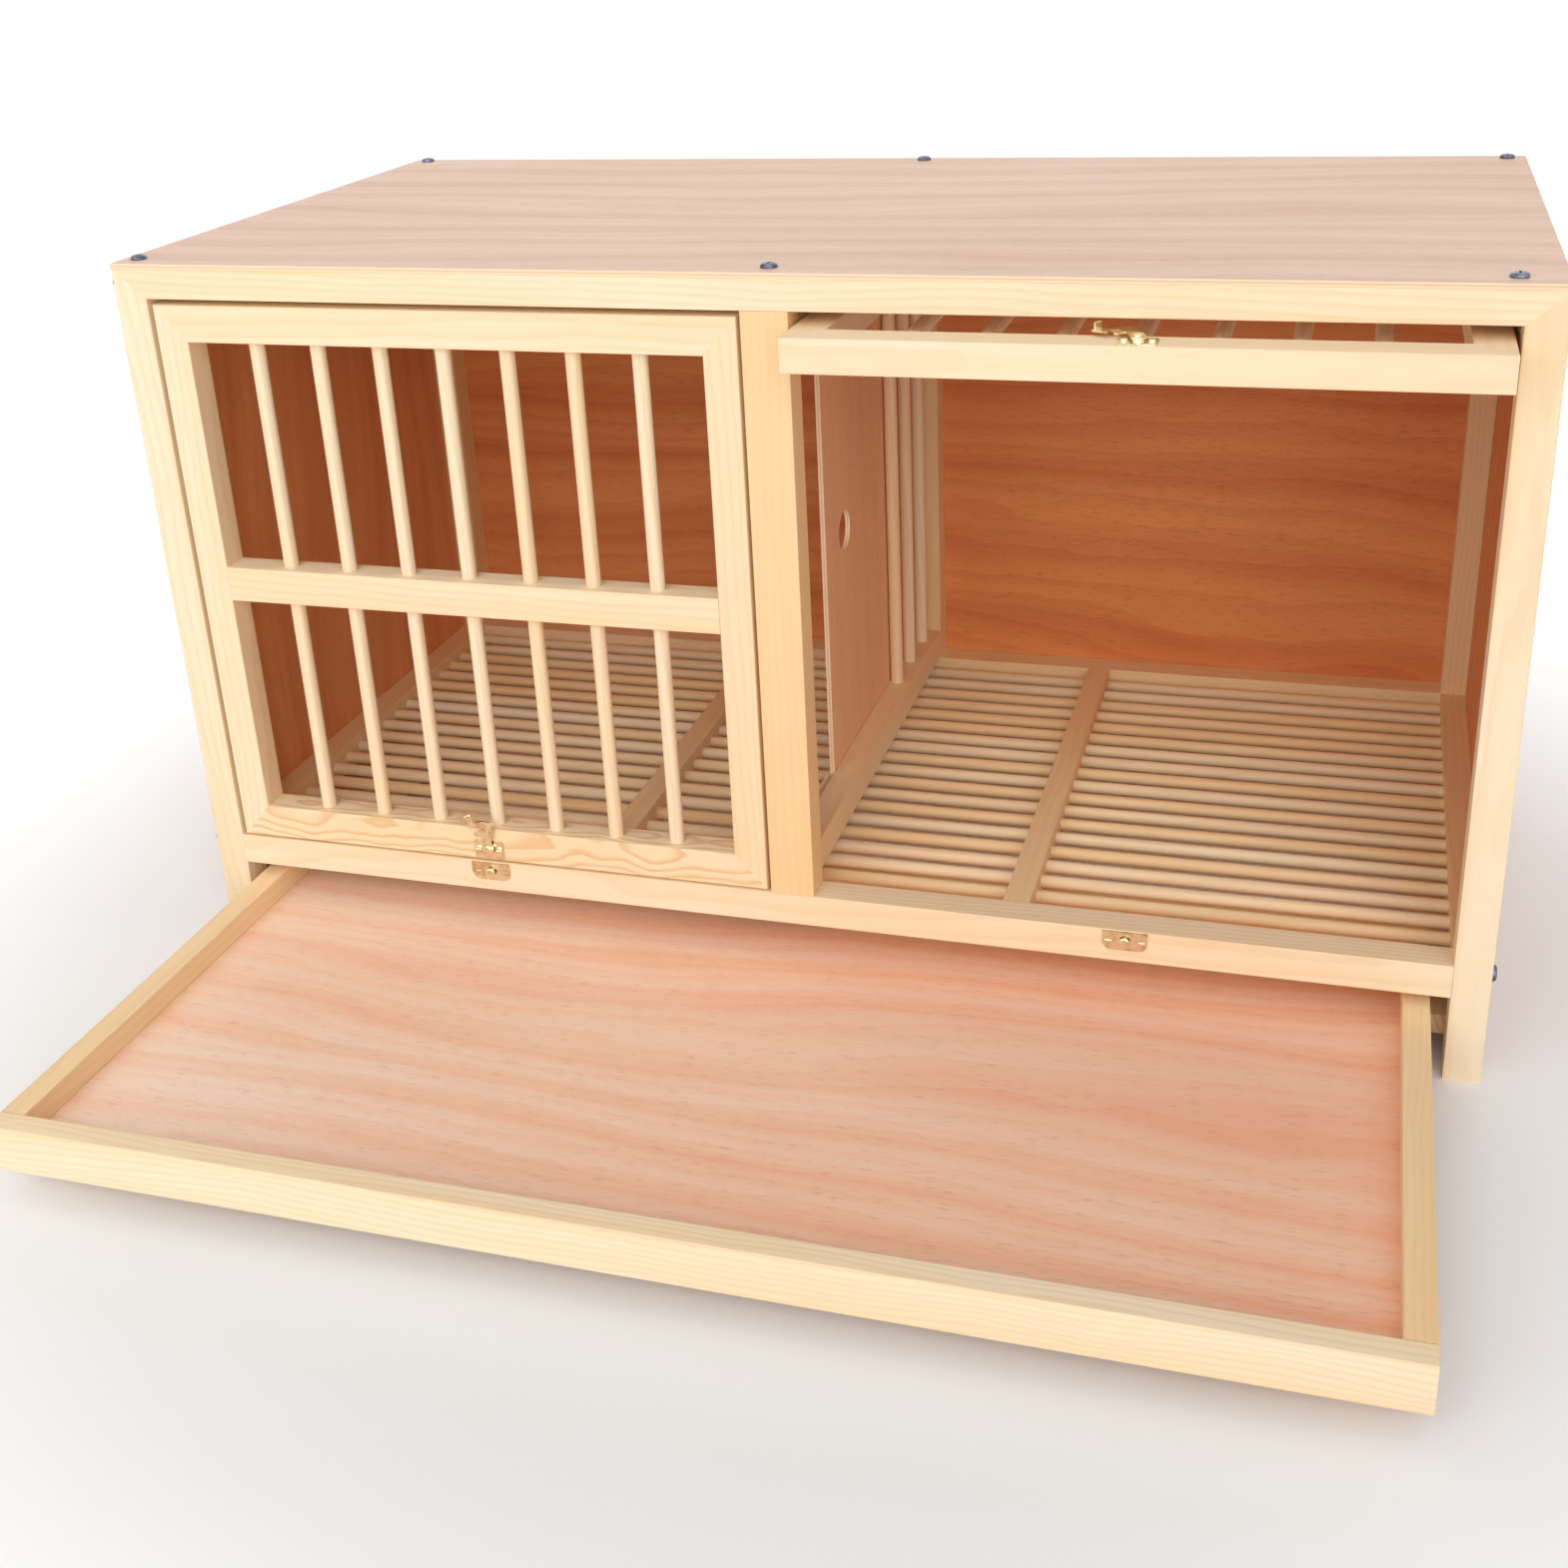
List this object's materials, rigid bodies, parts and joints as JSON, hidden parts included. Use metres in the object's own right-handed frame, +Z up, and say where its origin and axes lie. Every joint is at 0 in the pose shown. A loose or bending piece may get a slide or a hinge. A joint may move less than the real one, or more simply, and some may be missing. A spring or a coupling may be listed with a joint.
{
  "type": "pigeon breeding cage",
  "caption": "Wooden pigeon breeding cage: two compartments with barred doors that swing up and slide under the roof, a barred floor, a sliding divider and a pull-out tray.",
  "frame": {"origin": "on the ground under the middle of the whole part with its tray pulled out, 59 mm behind the cage's front face", "axes": "+X to the right seen from the front, +Y from the front to the back, +Z up"},
  "size_m": [0.805, 0.6845, 0.4525],
  "materials": {
    "frame_pine": "planed, bare",
    "dowel_pine": "turned, bare",
    "roof_plywood": "bare veneer",
    "wall_plywood": "bare reddish veneer",
    "tray_plywood": "bare veneer",
    "latch_brass": "plated, satin",
    "screw_steel": "dark zinc",
    "pin_steel": "bright wire"
  },
  "bodies": {
    "cage": {"back_panel": "wall_plywood", "catch_screws": "latch_brass", "centre_front_post": "frame_pine", "centre_rear_post": "frame_pine", "divider_lower_rail": "frame_pine", "divider_rods": "dowel_pine", "divider_upper_rail": "frame_pine", "floor_rods": "dowel_pine", "frame_screws": "screw_steel", "front_left_post": "frame_pine", "front_lower_rail": "frame_pine", "front_right_post": "frame_pine", "front_top_rail": "frame_pine", "left_catch_plate": "latch_brass", "left_door_runner": "frame_pine", "left_floor_crossbar": "frame_pine", "left_lower_rail": "frame_pine", "left_side_panel": "wall_plywood", "left_top_rail": "frame_pine", "left_tray_ledge": "frame_pine", "panel_screws": "screw_steel", "rear_left_post": "frame_pine", "rear_lower_rail": "frame_pine", "rear_right_post": "frame_pine", "rear_top_rail": "frame_pine", "right_catch_plate": "latch_brass", "right_door_runner": "frame_pine", "right_floor_crossbar": "frame_pine", "right_lower_rail": "frame_pine", "right_side_panel": "wall_plywood", "right_top_rail": "frame_pine", "right_tray_ledge": "frame_pine", "roof_panel": "roof_plywood"},
    "left_door_carriage": {"left_door_pins": "pin_steel"},
    "right_door_carriage": {"right_door_pins": "pin_steel"},
    "left_door": {"left_door_inner_stile": "frame_pine", "left_door_outer_stile": "frame_pine", "left_door_top_rail": "frame_pine", "left_door_middle_rail": "frame_pine", "left_door_bottom_rail": "frame_pine", "left_door_rods": "dowel_pine", "left_door_latch_plate": "latch_brass", "left_door_latch_screws": "latch_brass"},
    "right_door": {"right_door_inner_stile": "frame_pine", "right_door_outer_stile": "frame_pine", "right_door_top_rail": "frame_pine", "right_door_middle_rail": "frame_pine", "right_door_bottom_rail": "frame_pine", "right_door_rods": "dowel_pine", "right_door_latch_plate": "latch_brass", "right_door_latch_screws": "latch_brass"},
    "left_hook": {"left_door_latch_hook": "latch_brass"},
    "right_hook": {"right_door_latch_hook": "latch_brass"},
    "divider_slider": {"divider_panel": "wall_plywood"},
    "tray": {"tray_front_board": "frame_pine", "tray_back_strip": "frame_pine", "tray_left_side": "frame_pine", "tray_right_side": "frame_pine", "tray_bottom": "tray_plywood"}
  },
  "joints": [
    {"name": "left_door_slide", "type": "slide", "parent": "cage", "child": "left_door_carriage", "axis": [0, 1, 0], "range_m": [0, 0.3]},
    {"name": "left_door_hinge", "type": "hinge", "parent": "left_door_carriage", "child": "left_door", "pos_m": [0, -0.0485, 0.4125], "axis": [-1, 0, 0], "range_deg": [0, 90]},
    {"name": "left_hook_pivot", "type": "hinge", "parent": "left_door", "child": "left_hook", "pos_m": [-0.2, -0.061, 0.083], "axis": [0, -1, 0], "range_deg": [0, 160]},
    {"name": "right_door_slide", "type": "slide", "parent": "cage", "child": "right_door_carriage", "axis": [0, -1, 0], "range_m": [0, 0.3]},
    {"name": "right_door_hinge", "type": "hinge", "parent": "right_door_carriage", "child": "right_door", "pos_m": [0, 0.2515, 0.4125], "axis": [1, 0, 0], "range_deg": [0, 90]},
    {"name": "right_hook_pivot", "type": "hinge", "parent": "right_door", "child": "right_hook", "pos_m": [0.2, -0.078, 0.424], "axis": [0, 0, 1], "range_deg": [0, 130]},
    {"name": "divider_panel_slide", "type": "slide", "parent": "cage", "child": "divider_slider", "axis": [0, -1, 0], "range_m": [0, 0.1]},
    {"name": "tray_slide", "type": "slide", "parent": "cage", "child": "tray", "axis": [0, 1, 0], "range_m": [0, 0.282]}
  ]
}
